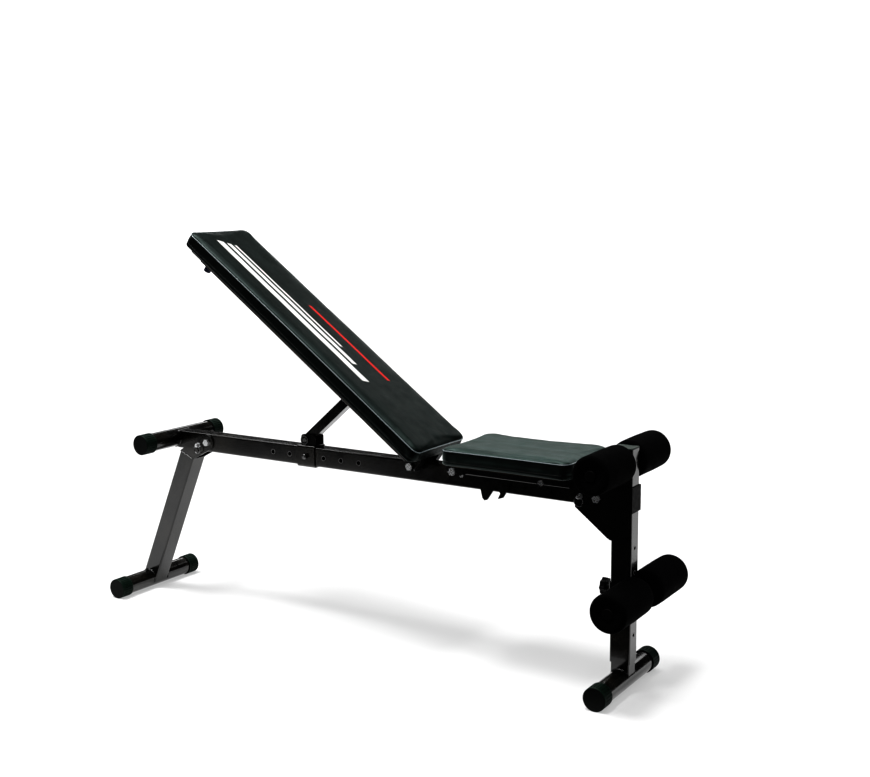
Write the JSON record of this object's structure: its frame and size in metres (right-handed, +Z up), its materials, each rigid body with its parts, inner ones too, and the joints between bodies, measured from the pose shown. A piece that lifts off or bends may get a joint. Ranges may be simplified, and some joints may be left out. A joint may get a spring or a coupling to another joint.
{
  "type": "decline sit up bench",
  "caption": "Folding adjustable bench with an inclining backrest, a tilting seat and foam leg rollers that hold the shins for decline sit ups.",
  "frame": {"origin": "on the floor, under the middle of the bench's outline", "axes": "+X from the rear foot towards the leg rollers, +Y across the bench, +Z up"},
  "size_m": [1.5961, 0.356, 1.03],
  "materials": {
    "frame_steel": "semi-gloss black powder coat",
    "vinyl": "dark padded vinyl with a fine grain",
    "board": "dark-stained plywood",
    "foam": "matt closed-cell foam",
    "cap_rubber": "matt ribbed rubber",
    "black_plastic": "matt black plastic",
    "grey_plastic": "pale grey plastic",
    "zinc": "bright zinc plate"
  },
  "bodies": {
    "frame": {"main_rail": "frame_steel", "rear_crossbar": "frame_steel", "crossbar_caps": "cap_rubber", "rail_gussets": "frame_steel", "ladder_peg": "zinc", "leg_pivot_bolts": "zinc", "frame_hinge_bolts": "zinc", "pivot_nuts": "zinc", "hinge_spacers": "black_plastic", "rail_side_bolts": "zinc"},
    "rear_leg": {"rear_leg_tube": "frame_steel", "rear_leg_bracket": "frame_steel", "rear_foot_tube": "frame_steel", "rear_foot_caps": "cap_rubber"},
    "rear_pin": {"rear_lock_pin": "zinc"},
    "rear_ring": {"rear_pin_ring": "zinc"},
    "front_leg": {"front_post_tube": "frame_steel", "front_foot_stub": "frame_steel", "front_foot_tube": "frame_steel", "front_foot_caps": "cap_rubber", "post_top_cap": "grey_plastic", "front_bracket": "frame_steel", "upper_roller_bar": "frame_steel", "upper_bar_plugs": "black_plastic"},
    "front_pin": {"front_lock_pin": "zinc"},
    "front_ring": {"front_pin_ring": "zinc"},
    "upper_roller_a": {"upper_roller_near": "foam"},
    "upper_roller_b": {"upper_roller_far": "foam"},
    "lower_roller_a": {"lower_roller_near": "foam"},
    "lower_roller_b": {"lower_roller_far": "foam"},
    "carriage": {"carriage_sleeve": "frame_steel", "lower_roller_bar": "frame_steel", "lower_bar_plugs": "black_plastic"},
    "knob": {"carriage_knob": "black_plastic", "carriage_knob_screw": "zinc"},
    "backrest": {"backrest_pad": "vinyl", "backrest_board": "board", "backrest_rail_near": "frame_steel", "backrest_rail_far": "frame_steel", "backrest_rail_plugs": "black_plastic", "backrest_crossbars": "frame_steel", "backrest_screws": "zinc", "backrest_bumpers": "cap_rubber", "strut_top_bolt": "zinc", "strut_spacers": "black_plastic"},
    "strut": {"strut_tube": "frame_steel"},
    "slider": {"slider_collar": "frame_steel", "slider_lugs": "frame_steel"},
    "foot_pin": {"strut_foot_pin": "zinc"},
    "slider_pin": {"slider_lock_pin": "zinc"},
    "seat": {"seat_pad": "vinyl", "seat_board": "board", "seat_rail_near": "frame_steel", "seat_rail_far": "frame_steel", "seat_rail_plugs": "black_plastic", "seat_crossbars": "frame_steel", "seat_screws": "zinc", "ladder_pivot_bolt": "zinc"},
    "ladder": {"seat_ladder": "frame_steel"}
  },
  "joints": [
    {"name": "front_post_fold", "type": "hinge", "parent": "frame", "child": "front_leg", "pos_m": [0.654, 0, 0.444], "axis": [0, 1, 0], "range_deg": [0, 75]},
    {"name": "rear_leg_fold", "type": "hinge", "parent": "frame", "child": "rear_leg", "pos_m": [-0.524, 0, 0.452], "axis": [0, -1, 0], "range_deg": [0, 110]},
    {"name": "front_pin_pull", "type": "slide", "parent": "front_leg", "child": "front_pin", "axis": [0, -1, 0], "range_m": [0, 0.03]},
    {"name": "front_ring_swing", "type": "hinge", "parent": "front_pin", "child": "front_ring", "pos_m": [0.613, -0.0307, 0.445], "axis": [-1, 0, 0], "range_deg": [0, 90]},
    {"name": "rear_pin_pull", "type": "slide", "parent": "rear_leg", "child": "rear_pin", "axis": [0, -1, 0], "range_m": [0, 0.03]},
    {"name": "rear_ring_swing", "type": "hinge", "parent": "rear_pin", "child": "rear_ring", "pos_m": [-0.555, -0.0307, 0.442], "axis": [-1, 0, 0], "range_deg": [0, 90]},
    {"name": "upper_roller_near_spin", "type": "hinge", "parent": "front_leg", "child": "upper_roller_a", "pos_m": [0.708, -0.097, 0.531], "axis": [0, 1, 0], "continuous": true},
    {"name": "upper_roller_far_spin", "type": "hinge", "parent": "front_leg", "child": "upper_roller_b", "pos_m": [0.708, 0.097, 0.531], "axis": [0, 1, 0], "continuous": true},
    {"name": "carriage_slide", "type": "slide", "parent": "front_leg", "child": "carriage", "axis": [0, 0, 1], "range_m": [-0.1, 0.07]},
    {"name": "knob_turn", "type": "hinge", "parent": "carriage", "child": "knob", "pos_m": [0.66, 0, 0.237], "axis": [-1, 0, 0], "continuous": true},
    {"name": "lower_roller_near_spin", "type": "hinge", "parent": "carriage", "child": "lower_roller_a", "pos_m": [0.7544, -0.097, 0.237], "axis": [0, 1, 0], "continuous": true},
    {"name": "lower_roller_far_spin", "type": "hinge", "parent": "carriage", "child": "lower_roller_b", "pos_m": [0.7544, 0.097, 0.237], "axis": [0, 1, 0], "continuous": true},
    {"name": "backrest_incline", "type": "hinge", "parent": "frame", "child": "backrest", "pos_m": [0.165, 0, 0.4675], "axis": [0, 1, 0], "range_deg": [-33.8, 16.9]},
    {"name": "strut_swing", "type": "hinge", "parent": "backrest", "child": "strut", "pos_m": [-0.01999, 0, 0.6327], "axis": [0, 1, 0], "range_deg": [-36.2, 72.3]},
    {"name": "slider_level", "type": "hinge", "parent": "strut", "child": "slider", "pos_m": [-0.183, 0, 0.4933], "axis": [0, 1, 0], "range_deg": [-38.5, 19.3]},
    {"name": "strut_foot_pin_pull", "type": "slide", "parent": "slider", "child": "foot_pin", "axis": [0, -1, 0], "range_m": [0, 0.03]},
    {"name": "slider_pin_pull", "type": "slide", "parent": "slider", "child": "slider_pin", "axis": [0, -1, 0], "range_m": [0, 0.025]},
    {"name": "seat_incline", "type": "hinge", "parent": "frame", "child": "seat", "pos_m": [0.288, 0, 0.4685], "axis": [0, -1, 0], "range_deg": [0, 22.57]},
    {"name": "ladder_swing", "type": "hinge", "parent": "seat", "child": "ladder", "pos_m": [0.527, -0.0235, 0.4705], "axis": [0, -1, 0], "range_deg": [0, 19]}
  ],
  "couplings": [
    {"joint": "strut_swing", "follows": "backrest_incline", "ratio": -2.135},
    {"joint": "slider_level", "follows": "backrest_incline", "ratio": 1.135},
    {"joint": "ladder_swing", "follows": "seat_incline", "ratio": 0.832}
  ]
}
